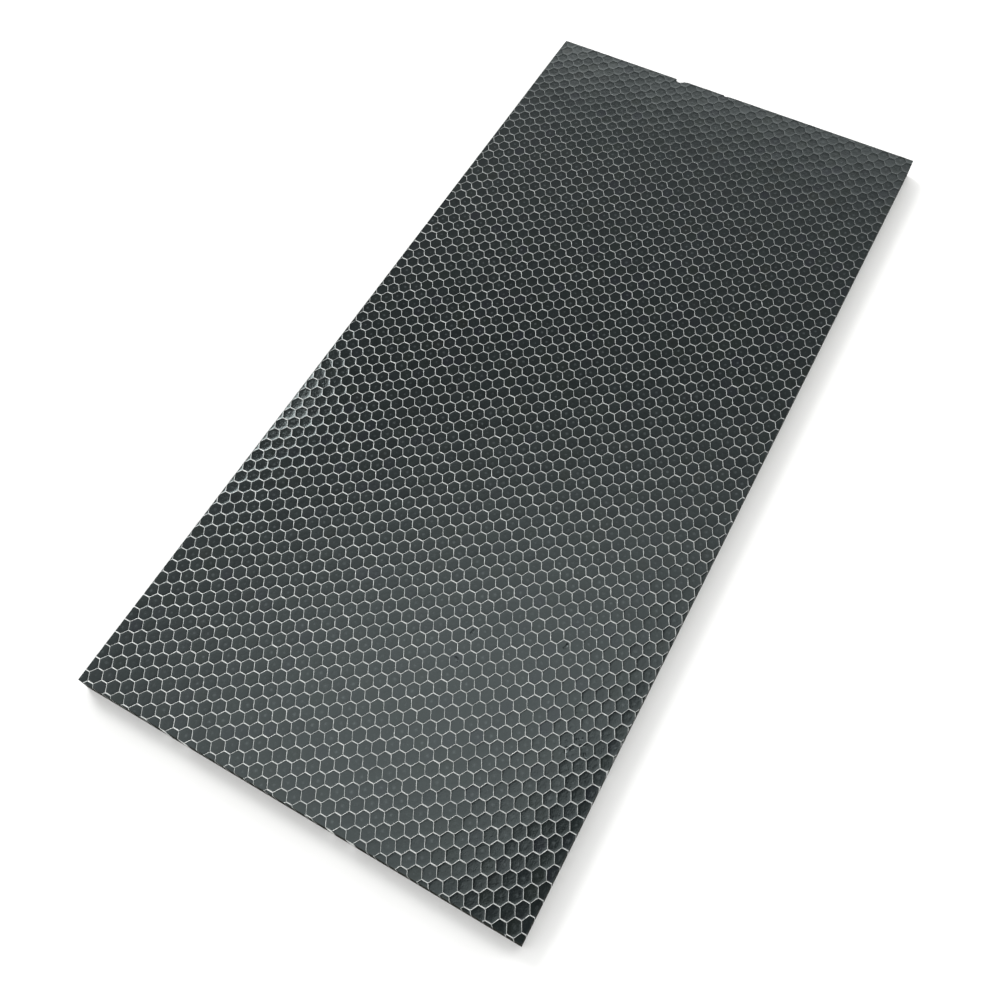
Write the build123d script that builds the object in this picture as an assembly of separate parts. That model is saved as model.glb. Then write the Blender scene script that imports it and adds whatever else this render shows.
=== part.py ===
from build123d import *
from build123d.topology import SkipClean
import os

# A slab sawn from a block of expanded aluminium-foil honeycomb whose cells are filled with dark resin.
# Lengths are in millimetres. The origin is the middle of the underside. +X runs along the foil ribbons,
# +Y is the way the core was pulled open and +Z is up through the cells.

# The slab
WIDTH = 100.0
LENGTH = 211.0
THICKNESS = 5.0
SKIN = 0.3  # resin under the foil, where the core stood a little clear of its casting tray

# The foil
FOIL = 0.08
GLUE_LINE = 0.02  # between two ribbons where they are bonded
BOND = 1.44  # length of a bonded stretch, outside the folds
FOLD = 0.05  # how much further in the inside corner of a fold lies than the outside one

# The lattice: cells stand in columns along Y, and every other column is half a cell further on.
# A line is a row of cell middles, so cells and bonds take turns along it.
COLUMN_PITCH = 2.195
LINE_PITCH = 1.575  # half of the 3.15 mm cell
SIDE_COLUMN = 22  # the last whole column on each side
END_LINE = 66  # the last whole line at each end

# The core was pulled open unevenly, so the lines fan out and the columns bow and spread at both ends.
MIDDLE_X = 0.25
MIDDLE_Y = 0.22
LINE_RISE = 0.44  # of every line, from the middle to the side
FAN = 2.32  # more rise from the middle to the side, at the end line
COLUMN_LEAN = -1.35  # of every column, from the middle to the end line
COLUMN_BOW = -0.97
COLUMN_SPREAD = 1.42
COLUMN_CROWDING = -0.55
LINE_BOW = 0.13

# What is left of a cell or a ribbon at a cut, if smaller than this area, has crumbled away.
SMALLEST_BIT = 0.05

# Two chips are missing from the far cut, right through. Each plan outline goes in from the edge and back out.
CHIP_DEPTH = 1.0
CHIPS = [
    [(-16.1, LENGTH / 2), (-16.0, LENGTH / 2 - CHIP_DEPTH), (-14.6, LENGTH / 2 - 0.98), (-13.5, LENGTH / 2)],
    [(-2.3, LENGTH / 2), (-1.9, LENGTH / 2 - 0.4), (-0.9, LENGTH / 2)],
]

RIBBONS_PER_NODE = 3
CASTING_STRIPS = 20  # the casting is put together strip by strip, which is quicker

MARGIN = 4  # columns and lines beyond the last whole ones, to reach past the cuts
COLUMNS = range(-SIDE_COLUMN - MARGIN, SIDE_COLUMN + MARGIN + 1)
LINES = range(-END_LINE - MARGIN, END_LINE + MARGIN + 1)


def lattice_point(column, line):
    """The middle of the cell, or of the bond, at a column and line of the pulled core."""
    u = column / SIDE_COLUMN
    w = line / END_LINE
    x = MIDDLE_X + COLUMN_PITCH * column + COLUMN_LEAN * w
    x += COLUMN_BOW * w**2 + COLUMN_SPREAD * u * w**2 + COLUMN_CROWDING * u**2
    y = MIDDLE_Y + LINE_PITCH * line + LINE_RISE * u
    y += FAN * u * w + LINE_BOW * (u**2 + w**2)
    return round(x, 2), round(y, 2)


def has_cell(column, line):
    return (column + line) % 2 == 0


def ribbon_outline(line):
    """The plan outline of the ribbon that zigzags between a line and the next one."""
    near_side, far_side = [], []
    for column in COLUMNS:
        at_top = has_cell(column, line)
        x, y = lattice_point(column, line + 1 if at_top else line)
        outer, inner = BOND / 2, BOND / 2 - FOLD
        if at_top:
            y -= GLUE_LINE / 2
            near_side += [(x - inner, y - FOIL), (x + inner, y - FOIL)]
            far_side += [(x - outer, y), (x + outer, y)]
        else:
            y += GLUE_LINE / 2
            near_side += [(x - outer, y), (x + outer, y)]
            far_side += [(x - inner, y + FOIL), (x + inner, y + FOIL)]
    return near_side + far_side[::-1]


def cell_outline(column, line):
    """The plan outline of the resin in one cell, between four bonds and two ribbons."""
    left_x, left_y = lattice_point(column - 1, line)
    right_x, right_y = lattice_point(column + 1, line)
    near_x, near_y = lattice_point(column, line - 1)
    far_x, far_y = lattice_point(column, line + 1)
    outer, inner = BOND / 2, BOND / 2 - FOLD
    near_y += GLUE_LINE / 2 + FOIL
    far_y -= GLUE_LINE / 2 + FOIL
    return [
        (left_x + outer, left_y),
        (near_x - inner, near_y),
        (near_x + inner, near_y),
        (right_x - outer, right_y),
        (far_x + inner, far_y),
        (far_x - inner, far_y),
    ]


def slab_outline():
    """The plan outline of the slab, with the chips missing from its far side."""
    near_side = [(-WIDTH / 2, -LENGTH / 2), (WIDTH / 2, -LENGTH / 2)]
    far_side = [(WIDTH / 2, LENGTH / 2), (-WIDTH / 2, LENGTH / 2)]
    chipped = [point for chip in reversed(CHIPS) for point in reversed(chip)]
    return near_side + far_side[:1] + chipped + far_side[1:]


def flat_face(outline, height):
    return Face(Wire.make_polygon([(x, y, height) for x, y in outline]))


def is_inside(outline):
    """Is an outline clear of all four cuts and of the chips?"""
    return all(abs(x) <= WIDTH / 2 and abs(y) <= LENGTH / 2 - CHIP_DEPTH for x, y in outline)


def upright(outline, bottom):
    """The solids that stand on the part of a plan outline that is inside the slab, up to its top."""
    floor = flat_face(outline, bottom)
    if not is_inside(outline):
        cut = floor & flat_face(slab_outline(), bottom)
        if cut is None:
            return []
        faces = [face for face in cut.faces() if face.area > SMALLEST_BIT]
    else:
        faces = [floor]
    return [Solid.extrude(face, Vector(0, 0, THICKNESS - bottom)) for face in faces]


def make_ribbons():
    """Each ribbon as a list of solids: one, or several bits where an end cut runs along it."""
    ribbons = [upright(ribbon_outline(line), SKIN) for line in LINES]
    return [ribbon for ribbon in ribbons if ribbon]


def make_plugs():
    """The resin in every cell, sorted into strips that run across the slab."""
    plugs = [[] for _ in range(CASTING_STRIPS)]
    for line in LINES:
        for column in COLUMNS:
            if has_cell(column, line):
                for plug in upright(cell_outline(column, line), SKIN):
                    strip = int((plug.center().Y / LENGTH + 0.5) * CASTING_STRIPS)
                    plugs[strip].append(plug)
    return plugs


def make_casting():
    """The resin: a plug in every cell on a thin skin, as one solid.

    The lower half of the skin is one sheet. The seams between the strips stay in the upper half,
    so that no face of it goes round thousands of plugs.
    """
    strip_length = LENGTH / CASTING_STRIPS
    near_side = -LENGTH / 2
    strips = []
    for number, plugs in enumerate(make_plugs()):
        corner = (-WIDTH / 2, near_side + number * strip_length, SKIN / 2)
        skin = Solid.make_box(WIDTH, strip_length, SKIN / 2, Plane(corner))
        strips.append(skin.fuse(*plugs))
    sheet = Solid.make_box(WIDTH, LENGTH, SKIN / 2, Plane((-WIDTH / 2, near_side, 0)))
    casting = sheet.fuse(*strips)
    for chip in CHIPS:
        beyond = [(chip[-1][0], LENGTH / 2 + 1), (chip[0][0], LENGTH / 2 + 1)]
        gap = Solid.extrude(flat_face(chip + beyond, 0), Vector(0, 0, THICKNESS))
        casting = casting.cut(gap)
    return casting


def write(node, solids):
    export_step(Compound(solids), f"parts/{node}.step", write_pcurves=False)
    print(node, len(solids), "solids", round(sum(solid.volume for solid in solids)), "mm3")


os.makedirs("parts", exist_ok=True)
ribbons = make_ribbons()
for start in range(0, len(ribbons), RIBBONS_PER_NODE):
    bundle = ribbons[start : start + RIBBONS_PER_NODE]
    number = start // RIBBONS_PER_NODE + 1
    write(f"foil_ribbons_{number:02d}", [solid for ribbon in bundle for solid in ribbon])
with SkipClean():  # keeps those seams
    write("resin_casting", make_casting().solids())
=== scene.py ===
import math

import bpy
import numpy as np
from mathutils import Matrix, Vector


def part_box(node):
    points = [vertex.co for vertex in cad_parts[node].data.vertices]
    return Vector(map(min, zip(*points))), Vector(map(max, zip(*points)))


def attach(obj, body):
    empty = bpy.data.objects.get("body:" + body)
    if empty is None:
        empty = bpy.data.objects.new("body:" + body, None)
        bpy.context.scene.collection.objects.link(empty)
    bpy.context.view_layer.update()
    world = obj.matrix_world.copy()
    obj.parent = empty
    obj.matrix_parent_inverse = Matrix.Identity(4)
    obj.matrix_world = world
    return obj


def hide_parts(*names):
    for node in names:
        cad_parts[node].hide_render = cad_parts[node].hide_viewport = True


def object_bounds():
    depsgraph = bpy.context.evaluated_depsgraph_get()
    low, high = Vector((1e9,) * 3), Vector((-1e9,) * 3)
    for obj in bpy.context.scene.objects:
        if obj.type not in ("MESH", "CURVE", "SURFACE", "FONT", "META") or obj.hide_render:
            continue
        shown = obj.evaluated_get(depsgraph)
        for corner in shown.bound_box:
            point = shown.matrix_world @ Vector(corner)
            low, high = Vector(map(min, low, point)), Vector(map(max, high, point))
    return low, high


# A slab of aluminium-foil honeycomb whose cells are filled with dark glossy resin.
# Shapes are worked out in millimetres and written to the meshes in metres.
MM = 0.001

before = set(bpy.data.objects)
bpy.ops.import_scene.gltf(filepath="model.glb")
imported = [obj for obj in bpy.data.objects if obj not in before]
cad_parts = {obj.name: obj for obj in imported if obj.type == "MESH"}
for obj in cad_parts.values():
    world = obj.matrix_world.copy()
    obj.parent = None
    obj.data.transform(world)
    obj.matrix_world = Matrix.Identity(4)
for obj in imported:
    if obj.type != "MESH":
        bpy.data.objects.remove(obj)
cad_low, cad_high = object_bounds()
LEFT, NEAR = cad_low.x / MM, cad_low.y / MM
RIGHT, FAR, TOP = cad_high.x / MM, cad_high.y / MM, cad_high.z / MM
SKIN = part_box("foil_ribbons_01")[0].z / MM  # the foil stands on a thin skin of resin

# The lattice, as in the CAD core: cells stand in columns along Y, and every other column is half a cell
# further on. The core was pulled open unevenly, so its lines fan out and its columns bow and spread.
COLUMN_PITCH = 2.195
LINE_PITCH = 1.575
SIDE_COLUMN = 22
END_LINE = 66
MIDDLE_X = 0.25
MIDDLE_Y = 0.22
LINE_RISE = 0.44
FAN = 2.32
COLUMN_LEAN = -1.35
COLUMN_BOW = -0.97
COLUMN_SPREAD = 1.42
COLUMN_CROWDING = -0.55
LINE_BOW = 0.13
MARGIN = 4  # columns and lines beyond the last whole ones, to reach past the cuts
COLUMNS = range(-SIDE_COLUMN - MARGIN, SIDE_COLUMN + MARGIN + 1)
LINES = range(-END_LINE - MARGIN, END_LINE + MARGIN + 1)

# Also as in the CAD
BOND = 1.44  # length of a bonded stretch, outside the folds
FOLD = 0.05  # how much further in the inside corner of a fold lies than the outside one
FOIL = 0.08
GLUE_LINE = 0.02  # between two ribbons where they are bonded
RIBBONS_PER_NODE = 3
SMALLEST_BIT = 0.05  # the area below which what a cut leaves of a cell has crumbled away

# The chips in the far cut
CHIPS = [
    [(-16.1, FAR), (-16.0, FAR - 1.0), (-14.6, FAR - 0.98), (-13.5, FAR)],
    [(-2.3, FAR), (-1.9, FAR - 0.4), (-0.9, FAR)],
]

# The resin in a cell
RIM_DROP = 0.022  # how far its rim lies under the foil's edge
RIM_SPREAD = 0.012  # and how much further it may
DISH = 0.014  # how far it dips from the rim to the middle
DISH_POWER = 6.0  # it is flat in the middle and climbs at the walls
TILT = 0.0024  # how far its flat middle leans, as a slope
PIP = 0.006  # a small nipple near the middle, where the last air left
PIP_RADIUS = 0.24
PIP_STRAY = 0.12  # how far off the middle it is
PAINTED_HIGHLIGHT_RADIUS = 0.2  # the pale dot there: a painted highlight, for the light reflected in the dished top
CORNER_POWER = 9  # how sharply the dish follows the cell's corners
CORNER_LIMIT = 1.06  # how far out, with the walls at 1, the corners still climb
CUT_BACK = 0.012  # how far the resin is worn back from the saw cuts
RINGS = (1.0, 0.94, 0.85, 0.7, 0.42, 0.15)  # shares of the way out where the mesh has a ring
SIDE_STEPS = 3  # points of a ring on each side of the cell
RESIN_PIECES = 8

# Scratches: X, Y, the angle they run at, in degrees, and half their length
GOUGES = [
    (42.7, -68.6, 35, 0.55),
    (43.6, -69.5, 20, 0.45),
    (42.2, -70.9, 60, 0.35),
    (41.3, -71.6, 100, 0.5),
    (44.9, -70.8, 130, 0.4),
    (13.9, -59.4, 80, 0.45),
    (14.0, -65.8, 150, 0.5),
    (31.8, -53.2, 75, 0.55),
]
GOUGE_DEPTH = 0.16
GOUGE_HALF = 0.13  # half its width
GOUGE_CURVE = 0.35
FINE_REACH = 2.6  # cells this near to a scratch get a finer mesh
FINE_RINGS = np.linspace(1, 0.06, 14)
FINE_SIDE_STEPS = 9

# The skin of resin under the foil
SKIN_GRID = (60, 126)  # squares across and along
SKIN_RIPPLES = ((8, 14, 0.02), (9, 3.1, 0.008))  # seed, length and depth
RIPPLE_LIMIT = 0.1
FLAT_SIDES = 1.0  # the underside is flat this near to the side cuts
FLAT_ENDS = 2.0  # and this near to the end cuts
SKIN_TINT = 0.4

# The foil's path
BOND_SHARES = (0.1, 0.5, 0.9)  # shares of the way along a bonded stretch where the mesh has points
WALL_SHARES = (0.07, 0.36, 0.64, 0.93)  # and along a free wall
BEND_ALONG = 0.028  # how far free walls wander along Y
BEND_ACROSS = 0.018  # and along X
BEND_LENGTH = 5.5
CUT_STEPS = 12  # halvings when looking for the point where a ribbon meets a cut

# The foil's cut edge
EDGE_HALF = 0.062  # half the width of the burr on a single wall
BOND_HALF = 0.068  # and on a bonded one, where two foils meet
EDGE_UNEVEN = 0.16  # how much the width of a single wall's burr changes
EDGE_RATE = 3.1  # how much faster it does so than the dips
EDGE_ROUND = 0.03  # how far the burr's sides lie under its crest
EDGE_DIPS = 0.02  # how far the crest dips
DIP_SHARE = 0.45  # how far, as a share of that, it dips on average
DIP_LENGTH = 2.3
SMEARED = 0.22  # foil that runs along an end cut this near to it is dragged flat on it
SMEAR_DEPTH = 0.03  # how thick it stays there

# Angles between faces, in degrees, below which they are shaded smoothly
RESIN_SMOOTH = 35
FOIL_SMOOTH = 60

# The colours of the resin's tops, by each cell's tint
TINTS = (
    (0.0, (0.0018, 0.0030, 0.0036)),
    (0.3, (0.0034, 0.0052, 0.0054)),
    (0.6, (0.0042, 0.0060, 0.0070)),
    (0.86, (0.0040, 0.0060, 0.0046)),
    (0.96, (0.0046, 0.0050, 0.0084)),
    (1.0, (0.0054, 0.0062, 0.0044)),
)

# How far painted shade darkens the foil's edge towards a dull grey, from the near end (0) to the far
# one (1), more and more towards the far end
PAINTED_FOIL_SHADE = ((0.0, 0.34), (0.45, 0.47), (0.65, 0.53), (0.8, 0.69), (0.9, 0.88), (1.0, 0.98))
# the dull grey of that painted shade
PAINTED_SHADE_COLOUR = (0.05, 0.06, 0.06)

# The floor, in millimetres
FLOOR_REACH = 2500.0
FLOOR_SQUARES = 8
FLOOR_DROP = 0.02  # how far it lies under the slab

# The room's brightness by the rise of a direction, which is its Z
ROOM_LIGHT = 4.2
ROOM_BANDS = (
    (0.0, 0.28),
    (0.33, 0.36),
    (0.44, 0.62),
    (0.54, 0.40),
    (0.64, 0.12),
    (0.69, 0.115),
    (0.75, 0.08),
    (0.80, 0.05),
    (1.0, 0.045),
)
BRIGHT_SIDE = (-0.5, 0.87, 0)
DIM, BRIGHT = 0.75, 1.25  # away from that side and towards it

# A soft glow and a wall's top edge, by where a direction meets a ceiling one unit up: across and along
# are its X and Y there.
LOWEST = 0.05  # the least rise that reaches the ceiling
GLOW = 2.05
GLOW_ACROSS = -0.325  # where the line down its middle starts
GLOW_LEAN = 0.55  # how far that line goes across for each unit along
GLOW_ALONG = 0.2  # its middle
GLOW_NARROW = 12.0  # how quickly it falls off away from the line
GLOW_SHORT = 8.2  # and along it
SHADE_LEAN = 0.25  # the glow ends at a line that leans this much
SHADE_START, SHADE_END = -0.122, -0.102
WALL = 0.9
WALL_START, WALL_END = 1.11, 1.125

# The two soft lights: name, place in metres, width and height, and power
SOFTBOXES = (
    ("key", (-0.95, 0.4, 1.0), (0.45, 0.45), 8.0),
    ("fill", (0.62, -0.5, 1.1), (0.5, 0.5), 3.0),
)

# The camera, in metres, and its axes
LENS = 36.66
CAMERA_PLACE = (0.05775, -0.1173, 0.1981)
CAMERA_RIGHT = (0.87431, 0.48473, -0.02486)
CAMERA_UP = (-0.41893, 0.77949, 0.46573)
CAMERA_BACK = (0.24513, -0.39676, 0.88458)


def lattice_point(column, line):
    """The middle of the cell, or of the bond, at a column and line of the pulled core."""
    u = column / SIDE_COLUMN
    w = line / END_LINE
    x = MIDDLE_X + COLUMN_PITCH * column + COLUMN_LEAN * w
    x += COLUMN_BOW * w**2 + COLUMN_SPREAD * u * w**2 + COLUMN_CROWDING * u**2
    y = MIDDLE_Y + LINE_PITCH * line + LINE_RISE * u
    y += FAN * u * w + LINE_BOW * (u**2 + w**2)
    return np.array((x, y))


def has_cell(column, line):
    return (column + line) % 2 == 0


def far_cut(x):
    """The Y of the far cut at an X, which is less in a chip."""
    xs, ys = [LEFT], [FAR]
    for chip in CHIPS:
        xs += [point[0] for point in chip]
        ys += [point[1] for point in chip]
    return np.interp(x, xs + [RIGHT], ys + [FAR])


def keep_inside(points, back=0.0):
    """Plan points, with any that lie past a cut, or nearer to it than a distance, moved back."""
    points = np.array(points, float)
    points[..., 0] = np.clip(points[..., 0], LEFT + back, RIGHT - back)
    points[..., 1] = np.clip(points[..., 1], NEAR + back, far_cut(points[..., 0]) - back)
    return points


def waves(seed, length, count=7):
    """A smooth function of plan points, about -1 to 1, that changes over a length in millimetres."""
    random = np.random.default_rng(seed)
    angles = random.uniform(0, 2 * math.pi, count)
    rates = random.uniform(0.6, 1.7, count) * 2 * math.pi / length
    shifts = random.uniform(0, 2 * math.pi, count)
    directions = np.stack((np.cos(angles), np.sin(angles)), 1) * rates[:, None]

    def field(points):
        phases = np.asarray(points, float) @ directions.T + shifts
        return np.sin(phases).sum(-1) / math.sqrt(count)

    return field


def clipped(outline, axis, limit, side):
    """The part of a convex outline where side * (coordinate - limit) is at most 0."""
    kept = []
    for a, b in zip(outline, outline[1:] + outline[:1]):
        a_in = side * (a[axis] - limit) <= 0
        b_in = side * (b[axis] - limit) <= 0
        if a_in:
            kept.append(a)
        if a_in != b_in:
            share = (limit - a[axis]) / (b[axis] - a[axis])
            kept.append(a + share * (b - a))
    return kept


def area(outline):
    """The area inside a plan outline."""
    x, y = np.array(outline).T
    return abs(x @ np.roll(y, -1) - y @ np.roll(x, -1)) / 2


def grid_faces(across, along, first=0, up=True):
    """The squares of a grid whose vertices run across first and then along."""
    faces = []
    for j in range(along):
        for i in range(across):
            a = first + j * (across + 1) + i
            b = a + across + 1
            faces.append((a, a + 1, b + 1, b) if up else (a, b, b + 1, a + 1))
    return faces


def new_piece(name, vertices, faces, material, smooth_below=RESIN_SMOOTH, attributes=None):
    """A mesh object from vertices in millimetres, smooth where faces meet at less than an angle."""
    mesh = bpy.data.meshes.new(name)
    mesh.from_pydata((np.asarray(vertices) * MM).tolist(), [], faces)
    mesh.polygons.foreach_set("use_smooth", [True] * len(mesh.polygons))
    mesh.set_sharp_from_angle(angle=math.radians(smooth_below))
    for key, values in (attributes or {}).items():
        layer = mesh.attributes.new(key, "FLOAT", "POINT")
        layer.data.foreach_set("value", np.asarray(values, np.float32))
    mesh.validate()
    mesh.update()
    mesh.materials.append(material)
    piece = bpy.data.objects.new(name, mesh)
    bpy.context.scene.collection.objects.link(piece)
    return piece


# The resin


def gouges(points):
    """How much the scratches add to the height of the resin's top, which is 0 or less."""
    depth = np.zeros(np.shape(points)[:-1])
    for x, y, turn, length in GOUGES:
        c, s = math.cos(math.radians(turn)), math.sin(math.radians(turn))
        dx, dy = points[..., 0] - x, points[..., 1] - y
        along, across = c * dx + s * dy, c * dy - s * dx
        across = across - GOUGE_CURVE * along**2
        depth -= GOUGE_DEPTH * np.exp(-((along / length) ** 4) - (across / GOUGE_HALF) ** 2)
    return depth


class Cell:
    """One cell of resin: its plan outline and how its top dips."""

    def __init__(self, column, line, random):
        left, right = lattice_point(column - 1, line), lattice_point(column + 1, line)
        near, far = lattice_point(column, line - 1), lattice_point(column, line + 1)
        outer, inner = BOND / 2, BOND / 2 - FOLD
        wall = GLUE_LINE / 2 + FOIL
        self.outline = [
            left + (outer, 0),
            near + (-inner, wall),
            near + (inner, wall),
            right - (outer, 0),
            far + (inner, -wall),
            far + (-inner, -wall),
        ]
        self.middle = sum(self.outline) / 6
        ends = np.roll(self.outline, -1, axis=0)
        along = ends - self.outline
        self.normals = np.stack((along[:, 1], -along[:, 0]), 1)
        self.normals /= np.linalg.norm(self.normals, axis=1)[:, None]
        self.reach = ((np.array(self.outline) - self.middle) * self.normals).sum(1)
        self.seen = self.outline
        for axis, limit, side in ((0, LEFT, -1), (0, RIGHT, 1), (1, NEAR, -1), (1, FAR, 1)):
            if self.seen:
                self.seen = clipped(self.seen, axis, limit, side)
        self.whole = len(self.seen) == 6 and area(self.seen) > 0.999 * area(self.outline)
        self.tint = random.random()
        self.rim = TOP - RIM_DROP - RIM_SPREAD * random.random()
        self.dish = DISH * (0.75 + 0.5 * random.random())
        self.pip = PIP * random.random()
        self.off_middle = random.normal(0, PIP_STRAY, 2)
        self.tilt = random.normal(0, TILT, 2)
        # how strong the painted highlight, a pale dot at the cell's middle, is
        self.painted_highlight = random.random() ** 1.5
        self.fine = any(math.dist(self.middle, gouge[:2]) < FINE_REACH for gouge in GOUGES)

    def spread(self, points):
        """0 in the middle of the cell, 1 at its walls and a little more in its corners."""
        shares = (points - self.middle) @ self.normals.T / self.reach
        return (np.clip(shares, 0, None) ** CORNER_POWER).sum(-1) ** (1 / CORNER_POWER)

    def height(self, points):
        """The height of the resin's top."""
        spread = self.spread(points)
        dip = self.dish * (1 - np.clip(spread, 0, CORNER_LIMIT) ** DISH_POWER)
        lean = (points - self.middle) @ self.tilt
        return self.rim - dip + lean + self.pip * self.near_middle(points, PIP_RADIUS) + gouges(points)

    def near_middle(self, points, radius):
        """1 where the nipple and the painted highlight dot are, down to 0 at about twice a radius from
        there.
        """
        away = np.linalg.norm(points - self.middle - self.off_middle, axis=-1)
        return np.exp(-((away / radius) ** 2))

    def ring(self, share, side_steps):
        """Points round the cell at a share of the way out, rounder towards the middle."""
        corners = np.array(self.seen)
        centre = corners.mean(0)
        ends = np.roll(corners, -1, axis=0)
        steps = np.arange(side_steps) / side_steps
        rim = (corners[:, None] + (ends - corners)[:, None] * steps[:, None]).reshape(-1, 2)
        arms = rim - centre
        if self.whole:
            lengths = np.linalg.norm(arms, axis=1)[:, None]
            round_arms = arms / lengths * lengths.mean()
            arms = arms + (round_arms - arms) * (1 - share) ** 0.5
        return centre + arms * share


def cell_mesh(cell, first):
    """Vertices, faces and painted highlight dots of a closed plug: its dished top, its sides and its
    bottom.
    """
    side_steps, shares = (FINE_SIDE_STEPS, FINE_RINGS) if cell.fine else (SIDE_STEPS, RINGS)
    rings = [keep_inside(cell.ring(share, side_steps), CUT_BACK) for share in shares]
    count = len(rings[0])
    centre = keep_inside(np.array(cell.seen).mean(0), CUT_BACK)
    plan = np.concatenate(rings + [centre[None], rings[0]])
    heights = cell.height(plan)
    heights[-count:] = SKIN
    # a pale dot at the middle: a painted highlight, for the light reflected in the dished top
    painted_highlight = cell.painted_highlight * cell.near_middle(plan, PAINTED_HIGHLIGHT_RADIUS)
    faces = []
    for ring in range(len(rings) - 1):
        a, b = first + ring * count, first + (ring + 1) * count
        for i in range(count):
            j = (i + 1) % count
            faces.append((a + i, a + j, b + j, b + i))
    inner = first + (len(rings) - 1) * count
    tip = inner + count
    bottom = tip + 1
    for i in range(count):
        j = (i + 1) % count
        faces.append((inner + i, inner + j, tip))
        faces.append((first + j, first + i, bottom + i, bottom + j))
    faces.append(tuple(bottom + i for i in reversed(range(count))))
    return np.column_stack((plan, heights)), faces, painted_highlight


def make_resin_cells(material):
    """The plug of resin in every cell, in bands from the near end to the far one."""
    random = np.random.default_rng(41)
    bands = [[] for _ in range(RESIN_PIECES)]
    for line in LINES:
        for column in COLUMNS:
            if not has_cell(column, line):
                continue
            cell = Cell(column, line, random)
            if len(cell.seen) < 3 or area(cell.seen) < SMALLEST_BIT:
                continue
            if area(keep_inside(cell.seen)) < SMALLEST_BIT:  # a chip took it
                continue
            share = (cell.middle[1] - NEAR) / (FAR - NEAR)
            bands[min(max(int(share * RESIN_PIECES), 0), RESIN_PIECES - 1)].append(cell)
    for number, cells in enumerate(bands, 1):
        vertices, faces, painted_highlights, tints = [], [], [], []
        first = 0
        for cell in cells:
            points, around, painted_highlight = cell_mesh(cell, first)
            vertices.append(points)
            faces += around
            painted_highlights.append(painted_highlight)
            tints.append(np.full(len(points), cell.tint))
            first += len(points)
        # the pale dots kept with each cell are painted highlights
        piece = new_piece(
            f"resin_cells_{number}",
            np.concatenate(vertices),
            faces,
            material,
            attributes={"painted_highlight": np.concatenate(painted_highlights), "tint": np.concatenate(tints)},
        )
        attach(piece, "root")
        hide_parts("resin_casting")


def make_resin_skin(material):
    """The thin sheet of resin under the foil, with a faintly rippled underside."""
    across, along = SKIN_GRID
    xs, ys = np.linspace(LEFT, RIGHT, across + 1), np.linspace(NEAR, FAR, along + 1)
    plan = keep_inside(np.stack(np.meshgrid(xs, ys), -1).reshape(-1, 2))
    rim = (np.abs(plan[:, 0]) > RIGHT - FLAT_SIDES) | (np.abs(plan[:, 1]) > FAR - FLAT_ENDS)
    sink = sum(depth * (1 + waves(seed, length)(plan)) for seed, length, depth in SKIN_RIPPLES)
    under = np.where(rim, 0, np.clip(sink, 0, RIPPLE_LIMIT))
    count = len(plan)
    vertices = np.concatenate(
        (np.column_stack((plan, under)), np.column_stack((plan, np.full(count, SKIN))))
    )
    faces = grid_faces(across, along, up=False) + grid_faces(across, along, first=count)
    edge = list(range(across))
    edge += [j * (across + 1) + across for j in range(along)]
    edge += [along * (across + 1) + i for i in range(across, 0, -1)]
    edge += [j * (across + 1) for j in range(along, 0, -1)]
    for a, b in zip(edge, edge[1:] + edge[:1]):
        faces.append((a, b, count + b, count + a))
    piece = new_piece(
        "resin_skin",
        vertices,
        faces,
        material,
        attributes={"painted_highlight": np.zeros(2 * count), "tint": np.full(2 * count, SKIN_TINT)},
    )
    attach(piece, "root")
    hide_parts("resin_casting")


# The foil


def ribbon_path(line):
    """Points along the middle of the ribbon that zigzags between a line and the next one.

    Each comes with 1 where the ribbon is bonded and 0 where it is free.
    """
    corners = []
    for column in COLUMNS:
        at_top = has_cell(column, line)
        middle = lattice_point(column, line + 1 if at_top else line)
        lift = -(GLUE_LINE + FOIL) / 2 if at_top else (GLUE_LINE + FOIL) / 2
        for side in (-1, 1):
            corners.append((middle + (side * BOND / 2, lift), side))
    points, bonded = [], []
    for (a, side), (b, _) in zip(corners, corners[1:]):
        on_bond = side < 0
        for share in BOND_SHARES if on_bond else WALL_SHARES:
            points.append(a + (b - a) * share)
            bonded.append(1.0 if on_bond else 0.0)
    return np.array(points), np.array(bonded)


def past_ends(points):
    """How far plan points lie past the nearer end cut: less than 0 inside."""
    return np.maximum(NEAR - points[..., 1], points[..., 1] - far_cut(points[..., 0]))


def in_reach(points):
    """Are plan points between the side cuts, and not too far past an end cut to be dragged to it?"""
    return (np.abs(points[..., 0]) < RIGHT) & (past_ends(points) < SMEARED)


def ribbon_runs(line, wobble):
    """The stretches of a ribbon that the cuts leave, as (points, bonded)."""
    points, bonded = ribbon_path(line)
    free = 1 - bonded
    # The shifts give each ribbon bends of its own.
    points[:, 1] += BEND_ALONG * free * wobble(points + (0, 40 * line))
    points[:, 0] += BEND_ACROSS * free * wobble(points + (90, 17 * line))
    inside = in_reach(points)
    runs, start = [], None
    for i in range(len(points) + 1):
        if i < len(points) and inside[i]:
            start = i if start is None else start
        elif start is not None:
            low, high = max(start - 1, 0), min(i + 1, len(points))
            ends = points[low:high].copy()
            # A first or last point that steps over the cut slides back along the ribbon to it.
            for end, near in ((0, 1), (-1, -2)):
                if (low < start) if end == 0 else (high > i):
                    ends[end] = slid_to_cut(ends[near], ends[end])
            # A run that lies past a cut all along is gone: the ribbon bonded to it is dragged there.
            if past_ends(points[start:i]).min() < FOIL / 2:
                runs.append((ends, bonded[low:high]))
            start = None
    return [run for run in runs if len(run[0]) > 1]


def slid_to_cut(inner, outer):
    """The last point on the way from an inner point to an outer one that is still in reach."""
    low, high = 0.0, 1.0
    for _ in range(CUT_STEPS):
        share = (low + high) / 2
        if in_reach(inner + (outer - inner) * share):
            low = share
        else:
            high = share
    return inner + (outer - inner) * low


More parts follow.
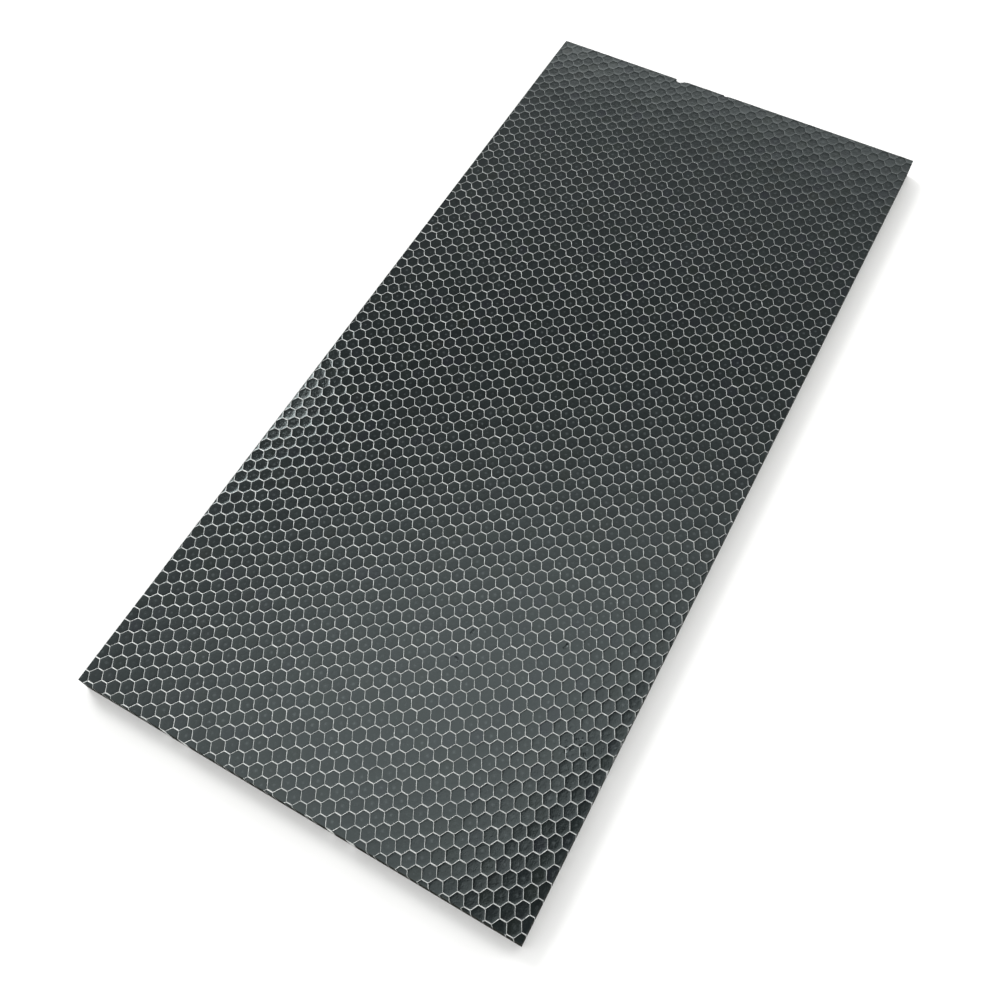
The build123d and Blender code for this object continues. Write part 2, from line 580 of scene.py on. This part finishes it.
def dragged(plan, side):
    """The points of a strip's near side (0), middle (0.5) or far side (1), kept inside the cuts.

    Where an end cut drags the strip flat, its sides stay apart.
    """
    plan = keep_inside(plan)
    low = NEAR + SMEAR_DEPTH * side
    high = far_cut(plan[:, 0]) - SMEAR_DEPTH * (1 - side)
    plan[:, 1] = np.clip(plan[:, 1], low, high)
    return plan


def strip_mesh(points, bonded, first, dips):
    """A foil strip on edge along a path: thin at the foot, with a rounded burr along its cut edge."""
    along = np.gradient(points, axis=0)
    across = np.stack((-along[:, 1], along[:, 0]), 1)
    across /= np.maximum(np.linalg.norm(across, axis=1), 1e-9)[:, None]
    half = EDGE_HALF + (BOND_HALF - EDGE_HALF) * bonded
    burr = half * (1 + EDGE_UNEVEN * dips(points * EDGE_RATE) * (1 - bonded))
    crest = TOP - EDGE_DIPS * np.clip(DIP_SHARE + DIP_SHARE * dips(points), 0, 1)
    foot = np.full(len(points), SKIN)
    rows = [
        (0, points - across * FOIL / 2, foot),
        (1, points + across * FOIL / 2, foot),
        (1, points + across * burr[:, None], crest - EDGE_ROUND),
        (0.5, points, crest),
        (0, points - across * burr[:, None], crest - EDGE_ROUND),
    ]
    loops = [np.column_stack((dragged(plan, side), z)) for side, plan, z in rows]
    vertices = np.stack(loops, 1).reshape(-1, 3)
    sides = len(rows)
    faces = []
    for i in range(len(points) - 1):
        a, b = first + i * sides, first + (i + 1) * sides
        for k in range(sides):
            m = (k + 1) % sides
            faces.append((a + k, b + k, b + m, a + m))
    faces.append(tuple(first + k for k in range(sides)))
    last = first + (len(points) - 1) * sides
    faces.append(tuple(last + k for k in reversed(range(sides))))
    return vertices, faces


def make_foil(material):
    """The strips of foil, one piece for each CAD node of ribbons."""
    wobble, dips = waves(5, BEND_LENGTH), waves(6, DIP_LENGTH)
    ribbons = [runs for runs in (ribbon_runs(line, wobble) for line in LINES) if runs]
    nodes = sorted(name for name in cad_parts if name.startswith("foil_ribbons"))
    for number, node in enumerate(nodes):
        vertices, faces = [], []
        first = 0
        for runs in ribbons[number * RIBBONS_PER_NODE : (number + 1) * RIBBONS_PER_NODE]:
            for points, bonded in runs:
                loop, around = strip_mesh(points, bonded, first, dips)
                vertices.append(loop)
                faces += around
                first += len(loop)
        name = node.replace("ribbons", "strips")
        piece = new_piece(name, np.concatenate(vertices), faces, material, smooth_below=FOIL_SMOOTH)
        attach(piece, "root")
        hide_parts(node)


# Materials


def new_material(name):
    material = bpy.data.materials.new(name)
    material.use_nodes = True
    return material


class Nodes:
    """Short calls for building the node tree of a material or a world."""

    def __init__(self, holder):
        self.tree = holder.node_tree
        self.shader = self.tree.nodes.get("Principled BSDF")
        self.coordinates = self.add("ShaderNodeTexCoord").outputs

    def add(self, kind, **settings):
        node = self.tree.nodes.new(kind)
        for key, value in settings.items():
            setattr(node, key, value)
        return node

    def join(self, source, target):
        self.tree.links.new(source, target)

    def feed(self, socket, value):
        """Set a socket to a number or a colour, or join another node's output to it."""
        if isinstance(value, (int, float)):
            socket.default_value = value
        elif isinstance(value, tuple):
            socket.default_value = (*value, 1)
        else:
            self.join(value, socket)

    def split(self, source):
        """The X, Y and Z of a vector."""
        node = self.add("ShaderNodeSeparateXYZ")
        self.join(source, node.inputs[0])
        return node.outputs

    def noise(self, scale, detail=3.0, stretch=None):
        """Noise whose scale is about how many times it changes in a metre."""
        node = self.add("ShaderNodeTexNoise")
        node.inputs["Scale"].default_value = scale
        node.inputs["Detail"].default_value = detail
        node.inputs["Roughness"].default_value = 0.55
        source = self.coordinates["Object"]
        if stretch:
            mapping = self.add("ShaderNodeMapping")
            mapping.inputs["Scale"].default_value = stretch
            self.join(source, mapping.inputs["Vector"])
            source = mapping.outputs["Vector"]
        self.join(source, node.inputs["Vector"])
        return node.outputs["Fac"]

    def ranged(self, source, low, high, start=0.0, end=1.0):
        """low where the source is at start or less and high where it is at end or more."""
        node = self.add("ShaderNodeMapRange")
        node.inputs["From Min"].default_value = start
        node.inputs["From Max"].default_value = end
        node.inputs["To Min"].default_value = low
        node.inputs["To Max"].default_value = high
        self.join(source, node.inputs["Value"])
        return node.outputs["Result"]

    def math(self, operation, *values):
        node = self.add("ShaderNodeMath", operation=operation)
        for socket, value in zip(node.inputs, values):
            self.feed(socket, value)
        return node.outputs[0]

    def ramp(self, source, *stops):
        """A colour for each value of the source, by stops of (value, colour or grey)."""
        node = self.add("ShaderNodeValToRGB")
        elements = node.color_ramp.elements
        while len(elements) < len(stops):
            elements.new(0.5)
        for element, (position, colour) in zip(elements, stops):
            element.position = position
            element.color = (*colour, 1) if isinstance(colour, tuple) else (colour, colour, colour, 1)
        self.join(source, node.inputs["Fac"])
        return node.outputs["Color"]

    def mix(self, share, a, b):
        """Colour a where share is 0 and colour b where it is 1."""
        node = self.add("ShaderNodeMix", data_type="RGBA")
        for socket, value in zip((node.inputs[0], node.inputs[6], node.inputs[7]), (share, a, b)):
            self.feed(socket, value)
        return node.outputs[2]

    def blend(self, share, a, b):
        """Number a where share is 0 and number b where it is 1."""
        node = self.add("ShaderNodeMix", data_type="FLOAT")
        for socket, value in zip((node.inputs[0], node.inputs[2], node.inputs[3]), (share, a, b)):
            self.feed(socket, value)
        return node.outputs[0]

    def bump(self, height, distance, strength, under=None):
        """A normal for bumps of a height in metres, on top of those of another normal."""
        node = self.add("ShaderNodeBump")
        node.inputs["Strength"].default_value = strength
        node.inputs["Distance"].default_value = distance
        self.join(height, node.inputs["Height"])
        if under is not None:
            self.join(under, node.inputs["Normal"])
        return node.outputs["Normal"]

    def attribute(self, name):
        return self.add("ShaderNodeAttribute", attribute_name=name).outputs["Fac"]

    def on_sides(self):
        """1 on upright faces and 0 on flat ones."""
        normal = self.split(self.add("ShaderNodeNewGeometry").outputs["Normal"])
        return self.ranged(self.math("ABSOLUTE", normal["Z"]), 1.0, 0.0, 0.3, 0.6)


def resin_material():
    """Nearly black resin: glossy on top, each cell with its own tint and a painted highlight dot in its
    middle, and dull where it is sawn.
    """
    material = new_material("resin")
    n = Nodes(material)
    cloud = n.noise(420, detail=4)
    grains = n.noise(3800, detail=2)
    top = n.ramp(n.attribute("tint"), *TINTS)
    top = n.mix(n.ranged(cloud, 0.0, 0.55, 0.35, 0.75), top, (0.009, 0.013, 0.013))
    top = n.mix(n.ranged(grains, 0.0, 0.6, 0.5, 0.75), top, (0.019, 0.023, 0.023))
    # painted highlight: a pale dot at each cell's middle, for the light reflected in its dished top
    top = n.mix(n.attribute("painted_highlight"), top, (0.05, 0.058, 0.06))
    saw = n.noise(900, detail=5, stretch=(0.25, 0.25, 6.0))
    sawn = n.mix(n.ranged(saw, 0.0, 1.0, 0.3, 0.7), (0.012, 0.0135, 0.012), (0.040, 0.042, 0.036))
    sides = n.on_sides()
    n.join(n.mix(sides, top, sawn), n.shader.inputs["Base Color"])
    gloss = n.math("ADD", n.ranged(cloud, 0.04, 0.08, 0.3, 0.7), n.ranged(grains, -0.02, 0.03))
    n.join(n.blend(sides, gloss, 0.62), n.shader.inputs["Roughness"])
    ripple = n.noise(1500, detail=3)
    fine = n.bump(n.blend(sides, grains, saw), 0.00001, 0.8)
    n.join(n.bump(ripple, 0.00003, 0.35, under=fine), n.shader.inputs["Normal"])
    n.join(n.blend(sides, 0.5, 0.0), n.shader.inputs["Specular IOR Level"])
    n.shader.inputs["Specular Tint"].default_value = (0.87, 1.0, 1.0, 1)
    n.shader.inputs["IOR"].default_value = 1.5
    return material


def foil_material():
    """Sawn and ground foil edges: bright and a little uneven, with painted shade that dulls them more
    and more towards the far end.
    """
    material = new_material("foil")
    n = Nodes(material)
    patches = n.noise(260, detail=3)
    sparkle = n.noise(2600, detail=2)
    grey = n.ramp(patches, (0.3, (0.60, 0.62, 0.61)), (0.7, (0.88, 0.89, 0.87)))
    bright = n.mix(n.ranged(sparkle, 0.0, 0.8, 0.52, 0.72), grey, (0.97, 0.97, 0.95))
    along = n.split(n.coordinates["Object"])["Y"]
    # painted shade: the foil's edge is mixed towards a dull grey, more and more towards the far end
    painted_shade = n.ramp(n.ranged(along, 0, 1, NEAR * MM, FAR * MM), *PAINTED_FOIL_SHADE)
    n.join(n.mix(painted_shade, bright, PAINTED_SHADE_COLOUR), n.shader.inputs["Base Color"])
    n.join(n.ranged(sparkle, 0.62, 0.36, 0.3, 0.75), n.shader.inputs["Roughness"])
    n.join(n.bump(n.noise(5200, detail=2), 0.00001, 0.6), n.shader.inputs["Normal"])
    n.shader.inputs["Metallic"].default_value = 0.75
    return material


def floor_material():
    """Matt and nearly white."""
    material = new_material("floor")
    n = Nodes(material)
    pale = n.ramp(n.noise(3), (0.3, (0.90, 0.90, 0.885)), (0.7, (0.93, 0.93, 0.92)))
    n.join(pale, n.shader.inputs["Base Color"])
    n.shader.inputs["Roughness"].default_value = 0.8
    return material


# The studio


def make_floor():
    steps = np.linspace(-FLOOR_REACH, FLOOR_REACH, FLOOR_SQUARES + 1)
    plan = np.stack(np.meshgrid(steps, steps), -1).reshape(-1, 2)
    vertices = np.column_stack((plan, np.full(len(plan), -FLOOR_DROP)))
    faces = grid_faces(FLOOR_SQUARES, FLOOR_SQUARES)
    new_piece("floor", vertices, faces, floor_material())


def make_softbox(name, middle, size, power):
    """A rectangular soft light that faces the middle of the slab's underside."""
    light = bpy.data.lights.new(name, "AREA")
    light.shape = "RECTANGLE"
    light.size, light.size_y = size
    light.energy = power
    lamp = bpy.data.objects.new(name, light)
    lamp.location = middle
    lamp.rotation_mode = "QUATERNION"
    lamp.rotation_quaternion = (-Vector(middle)).to_track_quat("-Z", "Y")
    bpy.context.scene.collection.objects.link(lamp)


def make_room():
    """A pale room, brighter beyond the slab, with a soft glow and the top edge of a wall."""
    world = bpy.data.worlds.new("room")
    world.use_nodes = True
    n = Nodes(world)
    direction = n.coordinates["Generated"]
    parts = n.split(direction)
    facing = n.add("ShaderNodeVectorMath", operation="DOT_PRODUCT")
    n.join(direction, facing.inputs[0])
    facing.inputs[1].default_value = BRIGHT_SIDE
    room = n.math("MULTIPLY", n.ramp(parts["Z"], *ROOM_BANDS), ROOM_LIGHT)
    room = n.math("MULTIPLY", room, n.ranged(facing.outputs["Value"], DIM, BRIGHT, -1.0, 1.0))
    # Where the direction meets the ceiling
    rise = n.math("MAXIMUM", parts["Z"], LOWEST)
    across = n.math("DIVIDE", parts["X"], rise)
    along = n.math("DIVIDE", parts["Y"], rise)
    line = n.math("MULTIPLY", along, GLOW_LEAN)
    aside = n.math("SUBTRACT", n.math("SUBTRACT", across, GLOW_ACROSS), line)
    beyond = n.math("SUBTRACT", along, GLOW_ALONG)
    aside = n.math("MULTIPLY", n.math("MULTIPLY", aside, aside), GLOW_NARROW)
    beyond = n.math("MULTIPLY", n.math("MULTIPLY", beyond, beyond), GLOW_SHORT)
    glow = n.math("EXPONENT", n.math("MULTIPLY", n.math("ADD", aside, beyond), -1.0))
    past_shade = n.math("SUBTRACT", across, n.math("MULTIPLY", along, SHADE_LEAN))
    glow = n.math("MULTIPLY", glow, n.ranged(past_shade, 1.0, 0.0, SHADE_START, SHADE_END))
    glow = n.math("MULTIPLY", glow, GLOW)
    wall = n.ranged(along, 0.0, WALL, WALL_START, WALL_END)
    light = n.math("ADD", room, n.math("ADD", glow, wall))
    n.join(light, n.tree.nodes["Background"].inputs["Color"])
    bpy.context.scene.world = world


def make_camera():
    camera = bpy.data.cameras.new("camera")
    camera.lens = LENS
    camera.sensor_width = 36
    camera.clip_start = 0.01
    seen_from = bpy.data.objects.new("camera", camera)
    turn = Matrix((CAMERA_RIGHT, CAMERA_UP, CAMERA_BACK)).transposed().to_4x4()
    seen_from.matrix_world = Matrix.Translation(CAMERA_PLACE) @ turn
    bpy.context.scene.collection.objects.link(seen_from)
    bpy.context.scene.camera = seen_from


resin = resin_material()
make_resin_cells(resin)
make_resin_skin(resin)
make_foil(foil_material())
make_floor()
for softbox in SOFTBOXES:
    make_softbox(*softbox)
make_room()
make_camera()
bpy.context.scene.view_settings.view_transform = "Standard"
bpy.context.scene.view_settings.exposure = 0.0
